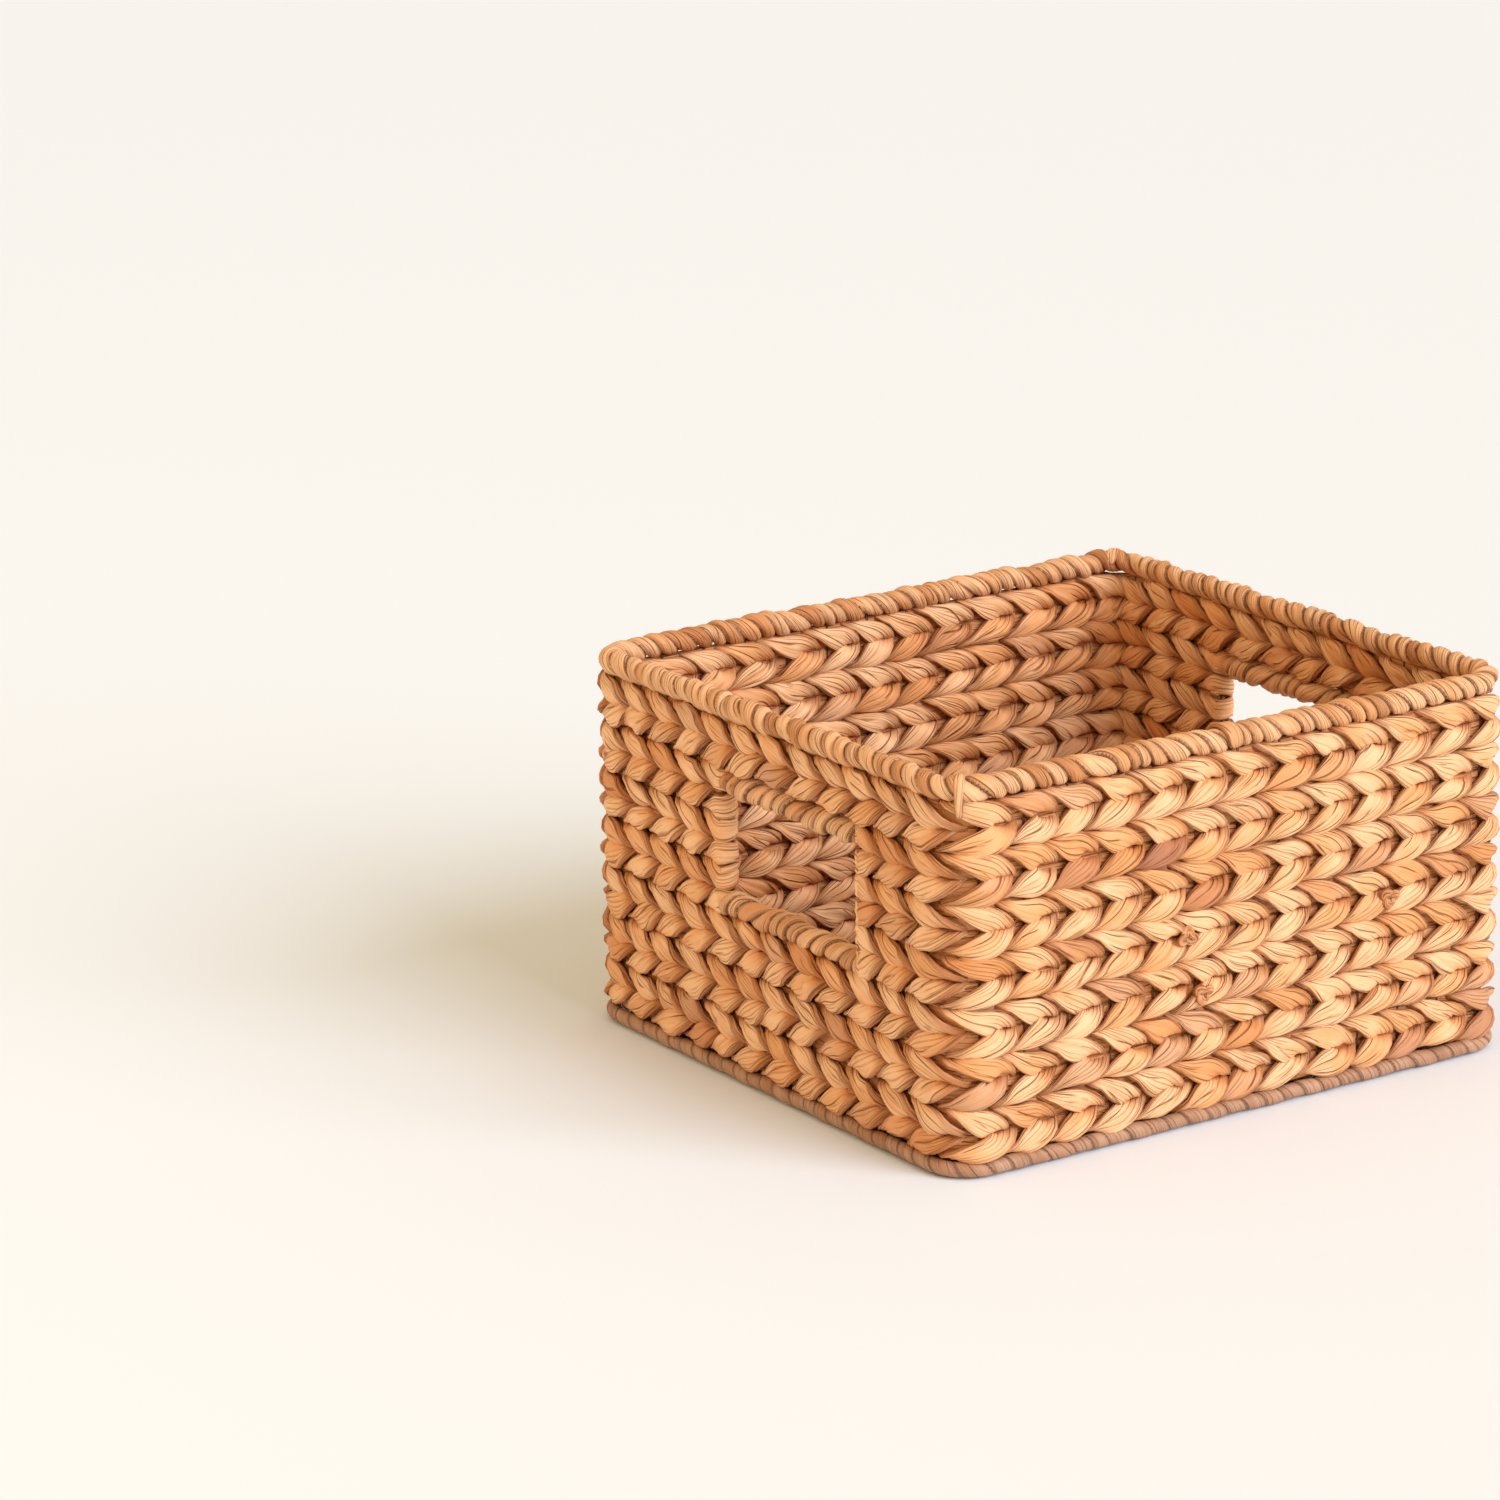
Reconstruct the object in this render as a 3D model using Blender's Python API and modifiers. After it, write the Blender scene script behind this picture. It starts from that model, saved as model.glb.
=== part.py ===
"""Open storage basket: twined strand walls on a wire frame, with a wrapped rim and two hand holes.

Metres, +Z up. The origin is under the middle of the base. The long walls face +Y and -Y, and
the short walls, which hold the hand holes, face +X and -X.
"""

import math

import bpy

COLLECTION = "storage_basket"

# Plan of the walls' middle line, and the walls themselves
LENGTH = 0.338
WIDTH = 0.316
CORNER_RADIUS = 0.018
WALL_HALF = 0.007
FIT_GAP = 0.0003

# Heights
RIM_Z = 0.1944
ROWS_FROM = 0.0086
ROW_PITCH = 0.01283
ROW_COUNT = 14
BASE_RING_Z = 0.0043

# Wires
RING_WIRE = 0.0017
STAKE_WIRE = 0.0012
STUB_WIRE = 0.001
STAKE_SLOT = 0.0022
STAKE_BEND = 0.004
CROSS_Z = 0.0036
LENGTHWISE_Z = 0.0063
BASE_RING_OUT = 0.0032

# Stakes stand evenly: along a long wall from half a step off each corner, along a short wall from -Y
LONG_STAKES = 13
SHORT_STAKES = 12
SHORT_FIRST = -0.135
SHORT_STEP = 0.02513

# Hand holes: the edge stakes of each, counted from 0 at the -Y end of its wall. Both sit off centre
HOLE_EDGES = {"left": (2, 7), "right": (3, 8)}
SIDES = {"left": -1, "right": 1}

# The rows that hold the hand holes' wrapped bars, and how far each row's end loops past its stake
LOWER_BAR_ROW = 7
UPPER_BAR_ROW = 12
LOOP_REACH = 0.0085
BAR_END_GAP = 0.0004

# Wraps are open channels, so that the wires inside them are not sealed in
RIM_WRAP = 0.0056
BAR_WRAP = 0.0058
BASE_WRAP = 0.0038
WRAP_THICK = 0.0018
WRAP_OPENING = math.radians(32)
BASE_WRAP_OPENING = math.radians(70)

# Base weave
UNDER_TOP = 0.0019
OVER_FROM = 0.0078
OVER_TOP = 0.0098
UNDER_OUT = 0.0012
OVER_IN = 0.0075

HALF_LENGTH = LENGTH / 2
HALF_WIDTH = WIDTH / 2
LONG_STEP = LENGTH / LONG_STAKES
STAKE_TOP = RIM_Z - RING_WIRE - FIT_GAP


def clear_scene():
    for thing in list(bpy.data.objects):
        bpy.data.objects.remove(thing, do_unlink=True)
    for group in list(bpy.data.collections):
        bpy.data.collections.remove(group)


def new_collection(name):
    group = bpy.data.collections.new(name)
    bpy.context.scene.collection.children.link(group)
    return group


def material(name, colour, roughness, metallic=0.0):
    made = bpy.data.materials.new(name)
    made.use_nodes = True
    shader = made.node_tree.nodes["Principled BSDF"]
    shader.inputs["Base Color"].default_value = (*colour, 1.0)
    shader.inputs["Roughness"].default_value = roughness
    shader.inputs["Metallic"].default_value = metallic
    return made


def row_z(row):
    """The height of the middle of a row, counted from 1 at the base."""
    return ROWS_FROM + (row - 0.5) * ROW_PITCH


def rounded_plan(out, steps):
    """The closed plan line at a distance outside the walls' middle line, anticlockwise."""
    radius = CORNER_RADIUS + out
    centre_x = HALF_LENGTH - CORNER_RADIUS
    centre_y = HALF_WIDTH - CORNER_RADIUS
    points = []
    for quarter, (side_x, side_y) in enumerate([(1, 1), (-1, 1), (-1, -1), (1, -1)]):
        for step in range(steps + 1):
            angle = math.radians(90 * (quarter + step / steps))
            x = side_x * centre_x + radius * math.cos(angle)
            y = side_y * centre_y + radius * math.sin(angle)
            points.append((x, y))
    return points


def rectangle(from_x, to_x, from_y, to_y):
    return [(from_x, from_y), (to_x, from_y), (to_x, to_y), (from_x, to_y)]


def long_stakes():
    """Where the stakes of a long wall stand, along X."""
    return [-HALF_LENGTH + LONG_STEP * (index + 0.5) for index in range(LONG_STAKES)]


def short_stakes():
    """Where the stakes of a short wall stand, along Y."""
    return [SHORT_FIRST + SHORT_STEP * index for index in range(SHORT_STAKES)]


def hole_edges(side):
    """Where the two whole stakes at the edges of a wall's hand hole stand, along Y."""
    first, last = HOLE_EDGES[side]
    return short_stakes()[first], short_stakes()[last]


def hole_stakes(side):
    """Where the stakes that a wall's hand hole interrupts stand, along Y."""
    first, last = HOLE_EDGES[side]
    return short_stakes()[first + 1 : last]


def beside_hole(side, y_side):
    """How far from the middle the whole stakes of one end of a short wall stand."""
    first, last = HOLE_EDGES[side]
    places = short_stakes()[last:] if y_side > 0 else short_stakes()[: first + 1]
    return [y_side * y for y in places]


def wall_reach(place, half_along, half_across):
    """How far out the walls' middle line is at a place along a wall, also where the corner turns."""
    past = max(abs(place) - (half_along - CORNER_RADIUS), 0.0)
    return half_across - CORNER_RADIUS + math.sqrt(CORNER_RADIUS**2 - past**2)


def add_object(name, data, group, look):
    thing = bpy.data.objects.new(name, data)
    thing.data.materials.append(look)
    group.objects.link(thing)
    return thing


def poly_curve(name, runs, dimensions="3D", closed=False):
    """A curve of one POLY spline for each run of points."""
    curve = bpy.data.curves.new(name, "CURVE")
    curve.dimensions = dimensions
    for run in runs:
        spline = curve.splines.new("POLY")
        spline.points.add(len(run) - 1)
        for point, place in zip(spline.points, run):
            point.co = (*place, 1.0)
        spline.use_cyclic_u = closed
    return curve


def plate(name, group, look, contours, from_z, to_z):
    """A flat outline with holes, extruded between two heights."""
    runs = [[(x, y, 0.0) for x, y in contour] for contour in contours]
    curve = poly_curve(name, runs, "2D", closed=True)
    curve.fill_mode = "BOTH"
    curve.extrude = (to_z - from_z) / 2
    made = add_object(name, curve, group, look)
    made.location.z = (from_z + to_z) / 2
    return made


def wire(name, group, look, run, radius, closed=False, resolution=1):
    curve = poly_curve(name, [run], closed=closed)
    curve.bevel_depth = radius
    curve.bevel_resolution = resolution
    curve.use_fill_caps = not closed
    return add_object(name, curve, group, look)


def channel_profile(name, group, radius, opens_at, half_open):
    """An arc round the middle, with an opening of a stated angle facing one way."""
    start = math.radians(opens_at) + half_open
    sweep = 2 * math.pi - 2 * half_open
    sides = 10
    arc = []
    for side in range(sides + 1):
        angle = start + sweep * side / sides
        arc.append((radius * math.cos(angle), radius * math.sin(angle), 0.0))
    made = bpy.data.objects.new(name, poly_curve(name, [arc], "2D"))
    made.hide_render = True
    made.display_type = "WIRE"
    group.objects.link(made)
    return made


def channel(name, group, look, run, profile, closed):
    """An open channel swept along a run of points and thickened inwards."""
    curve = poly_curve(name, [run], closed=closed)
    curve.twist_mode = "Z_UP"
    curve.bevel_mode = "OBJECT"
    curve.bevel_object = profile
    made = add_object(name, curve, group, look)
    thick = made.modifiers.new("thickness", "SOLIDIFY")
    thick.thickness = WRAP_THICK
    thick.offset = 1.0
    return made


def rounded_run(out, z, steps=4):
    return [(x, y, z) for x, y in rounded_plan(out, steps)]


def u_stake(reach, low_z, first_top, last_top, across):
    """A stake down one wall, through the base and up the opposite wall. across places (s, z)."""
    bends = 3
    run = [across(-reach, first_top)]
    for step in range(bends + 1):
        angle = math.radians(180 + 90 * step / bends)
        s = -reach + STAKE_BEND + STAKE_BEND * math.cos(angle)
        run.append(across(s, low_z + STAKE_BEND + STAKE_BEND * math.sin(angle)))
    for step in range(bends + 1):
        angle = math.radians(270 + 90 * step / bends)
        s = reach - STAKE_BEND + STAKE_BEND * math.cos(angle)
        run.append(across(s, low_z + STAKE_BEND + STAKE_BEND * math.sin(angle)))
    run.append(across(reach, last_top))
    return run


def frame_rings(group, look):
    rim = rounded_run(0.0, RIM_Z)
    wire("rim_ring_wire", group, look, rim, RING_WIRE, closed=True, resolution=2)
    base = rounded_run(BASE_RING_OUT, BASE_RING_Z)
    wire("base_ring_wire", group, look, base, RING_WIRE, closed=True, resolution=2)


def cross_stakes(group, look):
    for index, x in enumerate(long_stakes(), 1):
        reach = wall_reach(x, HALF_LENGTH, HALF_WIDTH)
        run = u_stake(reach, CROSS_Z, STAKE_TOP, STAKE_TOP, lambda s, z, x=x: (x, s, z))
        wire(f"cross_stake_{index:02d}", group, look, run, STAKE_WIRE)


def lengthwise_stakes(group, look):
    """Stakes that run along the base and up both short walls, to the rim or to a hand hole's lower bar."""
    under_bar = row_z(LOWER_BAR_ROW) - STAKE_WIRE - FIT_GAP
    for index, y in enumerate(short_stakes(), 1):
        reach = wall_reach(y, HALF_WIDTH, HALF_LENGTH)
        left_top = under_bar if y in hole_stakes("left") else STAKE_TOP
        right_top = under_bar if y in hole_stakes("right") else STAKE_TOP
        run = u_stake(reach, LENGTHWISE_Z, left_top, right_top, lambda s, z, y=y: (s, y, z))
        wire(f"lengthwise_stake_{index:02d}", group, look, run, STAKE_WIRE)


def rod(name, helpers, radius, start, end):
    """A round rod between two points that share all but one coordinate."""
    middle = [(a + b) / 2 for a, b in zip(start, end)]
    length = math.dist(start, end)
    bpy.ops.mesh.primitive_cylinder_add(vertices=8, radius=radius, depth=length, location=middle)
    made = bpy.context.object
    made.name = name
    if start[1] != end[1]:
        made.rotation_euler.x = math.radians(90)
    for owner in list(made.users_collection):
        owner.objects.unlink(made)
    helpers.objects.link(made)
    return made


def handle_bars(group, helpers, look):
    """Each hand hole's two wires. The upper one carries the stubs that reach up to the rim."""
    for side, x_side in SIDES.items():
        x = x_side * HALF_LENGTH
        first, last = hole_edges(side)
        from_y = first + STAKE_WIRE + FIT_GAP
        to_y = last - STAKE_WIRE - FIT_GAP
        low_z = row_z(LOWER_BAR_ROW)
        run = [(x, from_y, low_z), (x, to_y, low_z)]
        wire(f"lower_bar_wire_{side}", group, look, run, STAKE_WIRE, resolution=2)
        high_z = row_z(UPPER_BAR_ROW)
        name = f"upper_bar_wire_{side}"
        bar = rod(name, helpers, STAKE_WIRE, (x, from_y, high_z), (x, to_y, high_z))
        helpers.objects.unlink(bar)
        group.objects.link(bar)
        bar.data.materials.append(look)
        for index, y in enumerate(hole_stakes(side), 1):
            stub = rod(f"{name}_stub_{index}", helpers, STUB_WIRE, (x, y, high_z), (x, y, STAKE_TOP))
            stub.hide_render = True
            stub.display_type = "WIRE"
            join = bar.modifiers.new(f"stub_{index}", "BOOLEAN")
            join.operation = "UNION"
            join.solver = "EXACT"
            join.object = stub


def stake_group(places, x_side=None, y_side=None):
    """One slot for a group of neighbouring stakes on one wall."""
    first = min(places) - STAKE_SLOT
    last = max(places) + STAKE_SLOT
    if y_side is not None:
        middle = y_side * HALF_WIDTH
        return rectangle(first, last, middle - STAKE_SLOT, middle + STAKE_SLOT)
    middle = x_side * HALF_LENGTH
    return rectangle(middle - STAKE_SLOT, middle + STAKE_SLOT, first, last)


def long_wall_slots(y_side):
    places = long_stakes()
    return [stake_group(part, y_side=y_side) for part in (places[:4], places[4:9], places[9:])]


def full_row(name, group, look, row):
    contours = [rounded_plan(WALL_HALF, 4), rounded_plan(-WALL_HALF, 3)]
    for side, x_side in SIDES.items():
        contours += long_wall_slots(x_side)
        contours.append(stake_group(beside_hole(side, 1), x_side=x_side))
        contours.append(stake_group([-y for y in beside_hole(side, -1)], x_side=x_side))
        contours.append(stake_group(hole_stakes(side), x_side=x_side))
    half = (ROW_PITCH - FIT_GAP) / 2
    plate(name, group, look, contours, row_z(row) - half, row_z(row) + half)


def half_row(name, group, look, row, y_side, holds_bar):
    """A row that a hand hole interrupts: round one long wall, and back round the hole's edge stakes."""
    left_end = min(beside_hole("left", y_side)) - LOOP_REACH
    right_end = min(beside_hole("right", y_side)) - LOOP_REACH
    round_end = WALL_HALF * 0.5
    outline = [(HALF_LENGTH + WALL_HALF, right_end + round_end)]
    outline += [point for point in rounded_plan(WALL_HALF, 4) if point[1] > 0]
    outline.append((-HALF_LENGTH - WALL_HALF, left_end + round_end))
    outline.append((-HALF_LENGTH - round_end, left_end))
    if holds_bar:
        outline += bar_notch("left", y_side, left_end)
    outline.append((-HALF_LENGTH + round_end, left_end))
    outline.append((-HALF_LENGTH + WALL_HALF, left_end + round_end))
    inner = [point for point in rounded_plan(-WALL_HALF, 3) if point[1] > 0]
    outline += list(reversed(inner))
    outline.append((HALF_LENGTH - WALL_HALF, right_end + round_end))
    outline.append((HALF_LENGTH - round_end, right_end))
    if holds_bar:
        outline += bar_notch("right", y_side, right_end)
    outline.append((HALF_LENGTH + round_end, right_end))
    contours = [outline]
    contours += long_wall_slots(1)
    if not holds_bar:
        for side, x_side in SIDES.items():
            contours.append(stake_group(beside_hole(side, y_side), x_side=x_side))
    contours = [[(x, y_side * y) for x, y in contour] for contour in contours]
    half = (ROW_PITCH - FIT_GAP) / 2
    plate(name, group, look, contours, row_z(row) - half, row_z(row) + half)


def bar_notch(side, y_side, end):
    """The slot of the hole's edge stakes, left open at the hole so that the bar can enter it."""
    middle = SIDES[side] * HALF_LENGTH
    last = max(beside_hole(side, y_side)) + STAKE_SLOT
    notch = [
        (middle - STAKE_SLOT, end),
        (middle - STAKE_SLOT, last),
        (middle + STAKE_SLOT, last),
        (middle + STAKE_SLOT, end),
    ]
    return notch


def twined_rows(group, look):
    for row in range(1, ROW_COUNT + 1):
        if LOWER_BAR_ROW <= row <= UPPER_BAR_ROW:
            holds_bar = row in (LOWER_BAR_ROW, UPPER_BAR_ROW)
            half_row(f"twined_row_{row:02d}_front", group, look, row, -1, holds_bar)
            half_row(f"twined_row_{row:02d}_back", group, look, row, 1, holds_bar)
        else:
            full_row(f"twined_row_{row:02d}", group, look, row)


def wraps(group, helpers, look, base_look):
    down = channel_profile("opens_down", helpers, RIM_WRAP, -90, WRAP_OPENING)
    channel("rim_wrap", group, look, rounded_run(0.0, RIM_Z), down, True)
    inwards = channel_profile("opens_inwards", helpers, BASE_WRAP, 180, BASE_WRAP_OPENING)
    run = rounded_run(BASE_RING_OUT, BASE_RING_Z)
    channel("base_edge_wrap", group, base_look, run, inwards, True)
    bar_down = channel_profile("bar_opens_down", helpers, BAR_WRAP, -90, WRAP_OPENING)
    bar_up = channel_profile("bar_opens_up", helpers, BAR_WRAP, 90, WRAP_OPENING)
    for side, x_side in SIDES.items():
        x = x_side * HALF_LENGTH
        first, last = hole_edges(side)
        from_y = first + LOOP_REACH + BAR_END_GAP
        to_y = last - LOOP_REACH - BAR_END_GAP
        for level, row, profile in (("lower", LOWER_BAR_ROW, bar_down), ("upper", UPPER_BAR_ROW, bar_up)):
            run = [(x, from_y, row_z(row)), (x, to_y, row_z(row))]
            channel(f"{level}_bar_wrap_{side}", group, look, run, profile, False)


def base_weave(group, look):
    under = rounded_plan(UNDER_OUT, 4)
    plate("base_weave_under", group, look, [under], 0.0, UNDER_TOP)
    over = rounded_plan(-OVER_IN, 3)
    plate("base_weave_over", group, look, [over], OVER_FROM, OVER_TOP)


def main():
    clear_scene()
    group = new_collection(COLLECTION)
    helpers = new_collection("helpers")
    straw = material("dried_strand", (0.62, 0.36, 0.15), 0.62)
    rim_straw = material("wrapping_strand", (0.60, 0.33, 0.13), 0.58)
    base_straw = material("base_strand", (0.42, 0.20, 0.08), 0.66)
    steel = material("frame_wire", (0.30, 0.24, 0.18), 0.45, 0.9)
    frame_rings(group, steel)
    cross_stakes(group, steel)
    lengthwise_stakes(group, steel)
    handle_bars(group, helpers, steel)
    twined_rows(group, straw)
    wraps(group, helpers, rim_straw, base_straw)
    base_weave(group, base_straw)


main()
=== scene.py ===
import math
import bpy
import numpy as np
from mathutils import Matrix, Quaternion, Vector


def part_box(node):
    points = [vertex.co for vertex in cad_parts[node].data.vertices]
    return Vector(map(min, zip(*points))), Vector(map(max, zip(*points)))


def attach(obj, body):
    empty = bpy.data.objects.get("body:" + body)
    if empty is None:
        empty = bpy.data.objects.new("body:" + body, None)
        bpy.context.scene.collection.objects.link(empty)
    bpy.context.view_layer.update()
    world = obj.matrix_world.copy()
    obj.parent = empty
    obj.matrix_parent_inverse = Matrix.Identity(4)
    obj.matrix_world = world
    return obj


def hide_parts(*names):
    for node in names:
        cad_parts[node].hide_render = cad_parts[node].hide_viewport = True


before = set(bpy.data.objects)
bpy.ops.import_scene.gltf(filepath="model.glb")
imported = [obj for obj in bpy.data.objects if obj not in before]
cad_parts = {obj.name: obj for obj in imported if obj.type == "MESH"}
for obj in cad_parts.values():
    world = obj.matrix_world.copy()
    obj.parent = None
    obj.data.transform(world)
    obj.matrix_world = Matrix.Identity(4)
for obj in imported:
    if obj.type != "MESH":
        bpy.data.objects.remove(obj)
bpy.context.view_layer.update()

# How far a wall strand swings out and in as it twists round the stakes, how far it swings up and down,
# and how far its middle sits from its row's middle
SWING_OUT = 0.0046
SWING_UP = 0.0043
DROP = 0.0007

# A wall strand's half width and half thickness where it slips out between rows, lies on a face of the
# wall, and dives in beside a stake, and how much wider it opens at the very point where it slips out
WIDE = (0.0025, 0.0061, 0.0067)
THICK = (0.0014, 0.0018, 0.0024)
SLIP_SPREAD = 0.0020
STEPS_PER_STAKE = 12
SIDES_ROUND = 36

# Lengthwise creases in a strand, and how strongly painted shade darkens its two edges to the colour of the
# gaps
PLEATS = 0.34
EDGE_SHADE = 0.6

# The flat strand in the middle of a wall, behind the gaps: its half height and half thickness, the
# length of its steps, how much painted shade darkens it, and how far it reaches past a hand hole's edge
# stakes
CORE_HIGH = 0.0069
CORE_THICK = 0.0009
CORE_STEP = 0.004
CORE_SHADE = 0.35
CORE_PAST = 0.002

# Wraps wound round the rim, the hand-hole bars and the base's edge: the length of one turn, and the
# wrap's half depth and half height
RIM_TURN = 0.0100
RIM_SIZE = (0.0066, 0.0062)
BAR_TURN = 0.0104
BAR_SIZE = (0.0064, 0.0064)
BAR_REACH = 0.0058      # an upper bar's wrap has its middle this far below the top of its plain solid
BAR_DROP = 0.001        # a lower bar's wrap has its middle this far below its wire's
BAR_END = 0.0035        # a bar's wrap stops this far from the middles of the stakes at its ends
EDGE_TURN = 0.0120
STEPS_PER_TURN = 16

# Strands across the base: how far apart their rows are, how far inside the walls they stop, their
# middle height, how far they swing, and their half width, as for a wall strand, and half thickness
BASE_PITCH = 0.0128
BASE_MARGIN_X = 0.004
BASE_MARGIN_Y = 0.008
BASE_Z = 0.0056
BASE_SWING_UP = 0.0028
BASE_SWING_SIDE = 0.0036
BASE_WIDE = (0.0024, 0.0060, 0.0034)
BASE_THICK = 0.0017
BASE_STEPS = 112

# Small knots on the front wall: for each row, how far along the wall each one is, and how high. A knot
# is a crumpled ring, with its own radius, distance out from the rim's line, half width and half thickness.
KNOTS = {8: ((-0.035, 0.099), (0.093, 0.095)), 6: ((-0.025, 0.068),)}
KNOT_RADIUS = 0.0030
KNOT_OUT = 0.0066
KNOT_WIDE = 0.0018
KNOT_THICK = 0.0010

# Strands that show redder on the front wall: for each row, stakes counted from the -X end, and how red
RED_LOBES = {
    11: ((2, 0.6), (4, 1.0)),
    8: ((2, 0.4), (8, 0.3)),
    6: ((3, 0.5),),
    5: ((6, 0.4),),
    3: ((2, 0.4), (4, 0.5)),
    2: ((12, 0.6),),
    1: ((10, 0.7), (12, 0.8)),
}

# Colours of the fibre: pale, middle and dark patches and red stains, and the painted shade of gaps and
# creases
STRAW = {
    "Pale": (0.92, 0.550, 0.285),
    "Mid": (0.84, 0.410, 0.160),
    "Dark": (0.60, 0.210, 0.052),
    "Red": (0.46, 0.180, 0.085),
    "GapShade": (0.36, 0.090, 0.008),
}
# The rim's colours are the wall straw's made darker, as painted shade that holds the lit rim down, with
# darker painted shade in its grooves
SHADED_RIM_STRAW = {
    "Pale": (0.88, 0.510, 0.260),
    "Mid": (0.76, 0.365, 0.145),
    "Dark": (0.48, 0.17, 0.05),
    "Red": (0.42, 0.17, 0.08),
    "GapShade": (0.24, 0.060, 0.010),
}
BASE_STRAW = {
    "Pale": (0.52, 0.30, 0.18),
    "Mid": (0.43, 0.215, 0.115),
    "Dark": (0.28, 0.11, 0.05),
    "Red": (0.28, 0.12, 0.07),
    "GapShade": (0.15, 0.040, 0.010),
}
WIRE_DARK = (0.075, 0.028, 0.010)
WIRE_LIGHT = (0.24, 0.10, 0.038)

CORNER_RADIUS = 0.018
UP = np.array([0.0, 0.0, 1.0])


# ---------------------------------------------------------------- places read from the frame

def middle(node):
    low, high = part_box(node)
    return (low + high) / 2


rim_low, rim_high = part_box("rim_ring_wire")
RIM_WIRE = (rim_high.z - rim_low.z) / 2
HALF_LENGTH = rim_high.x - RIM_WIRE
HALF_WIDTH = rim_high.y - RIM_WIRE
RIM_Z = middle("rim_ring_wire").z
NODES = sorted(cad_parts)
LONG_STAKES = sorted(middle(n).x for n in NODES if n.startswith("cross_stake"))
SHORT_STAKES = sorted(middle(n).y for n in NODES if n.startswith("lengthwise_stake"))

# Half of each wall's straight length, a corner's length, and the whole way round
STRAIGHT_X = HALF_LENGTH - CORNER_RADIUS
STRAIGHT_Y = HALF_WIDTH - CORNER_RADIUS
QUARTER = math.pi / 2 * CORNER_RADIUS
AROUND = 4 * (STRAIGHT_X + STRAIGHT_Y + QUARTER)


def hole_edges(side):
    """Where the two stakes beside a hand hole stand, the front one first."""
    low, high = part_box(f"lower_bar_wire_{side}")
    return max(y for y in SHORT_STAKES if y < low.y), min(y for y in SHORT_STAKES if y > high.y)


HOLE_EDGES = {side: hole_edges(side) for side in ("left", "right")}


# ---------------------------------------------------------------- lines that strands follow

def wall_line(s, grow=0.0):
    """Points and outward directions, s metres anticlockwise round the walls from the +X wall's middle."""
    long_run = 2 * STRAIGHT_X
    short_run = 2 * STRAIGHT_Y
    runs = [STRAIGHT_Y, QUARTER, long_run, QUARTER, short_run, QUARTER, long_run, QUARTER, STRAIGHT_Y]
    ends = np.cumsum(runs)
    s = np.mod(np.asarray(s, float), ends[-1])
    run = np.minimum(np.searchsorted(ends, s, side="right"), len(runs) - 1)
    along = s - np.concatenate([[0.0], ends])[run]
    quarter_turn = (run + 1) // 2
    turning = run % 2 == 1
    start = (quarter_turn - turning) * math.pi / 2
    angle = start + np.where(turning, along / CORNER_RADIUS, 0.0)
    out = np.stack([np.cos(angle), np.sin(angle), np.zeros_like(angle)], 1)
    ahead = np.stack([-np.sin(angle), np.cos(angle), np.zeros_like(angle)], 1)
    corner_x = np.array([1, 1, 1, -1, -1, -1, -1, 1, 1])[run] * STRAIGHT_X
    corner_y = np.array([0, 1, 1, 1, 1, -1, -1, -1, -1])[run] * STRAIGHT_Y
    corner = np.stack([corner_x, corner_y, np.zeros_like(corner_x)], 1)
    points = corner + out * (CORNER_RADIUS + grow)
    return points + ahead * np.where(turning, 0.0, along)[:, None], out


def stake_distances():
    """How far round the walls each stake stands, anticlockwise from the middle of the +X wall."""
    back_middle = STRAIGHT_Y + QUARTER + STRAIGHT_X
    left_middle = back_middle + STRAIGHT_X + QUARTER + STRAIGHT_Y
    front_middle = left_middle + STRAIGHT_Y + QUARTER + STRAIGHT_X
    found = [y for y in SHORT_STAKES if y >= -1e-6]
    found += [back_middle - x for x in reversed(LONG_STAKES)]
    found += [left_middle - y for y in reversed(SHORT_STAKES)]
    found += [front_middle + x for x in LONG_STAKES]
    found += [AROUND + y for y in SHORT_STAKES if y < -1e-6]
    return np.array(found)


def stakes_of_half(half):
    """The same for the stakes of the front or back half, from one hand hole's edge to the other's."""
    stakes = stake_distances()
    stakes = np.concatenate([stakes - AROUND, stakes])
    edge = 1 if half == "back" else 0
    left = AROUND / 2 - HOLE_EDGES["left"][edge]
    right = HOLE_EDGES["right"][edge]
    first, last = (right, left) if half == "back" else (left - AROUND, right)
    return stakes[(stakes > first - 1e-4) & (stakes < last + 1e-4)]


def steps_round(turns):
    """Even steps all the way round the walls, for a wrap of so many turns."""
    count = turns * STEPS_PER_TURN
    return np.arange(count) / count * AROUND


def wander(rng, length, shortest, strength):
    """A smooth wandering value along a closed length, as a function of distance."""
    waves = 7
    most = max(2, int(length / shortest))
    turns = rng.integers(1, most + 1, waves)
    shift = rng.uniform(0, 2 * math.pi, waves)
    return lambda s: strength / 2.2 * np.cos(2 * math.pi * np.outer(s / length, turns) + shift).sum(1)


# ---------------------------------------------------------------- one strand

def unit(vectors):
    return vectors / np.maximum(np.linalg.norm(vectors, axis=1), 1e-12)[:, None]


def creases(turn, run, rng):
    """How far sharp lengthwise creases lift or sink a strand's outline, at each angle and distance."""
    height = np.zeros((len(run), len(turn)))
    for folds, strength in ((4, 0.42), (8, 0.42), (13, 0.26)):
        drift = wander(rng, run[-1], 0.04, 1.1)(run)
        grow = 1 + wander(rng, run[-1], 0.02, 0.6)(run)
        wave = np.abs(np.sin((folds * turn[None, :] + drift[:, None]) / 2 + rng.uniform(0, math.pi)))
        height += strength * grow[:, None] * (1.6 * np.minimum(wave, 0.75) - 0.75)
    return height


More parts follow.
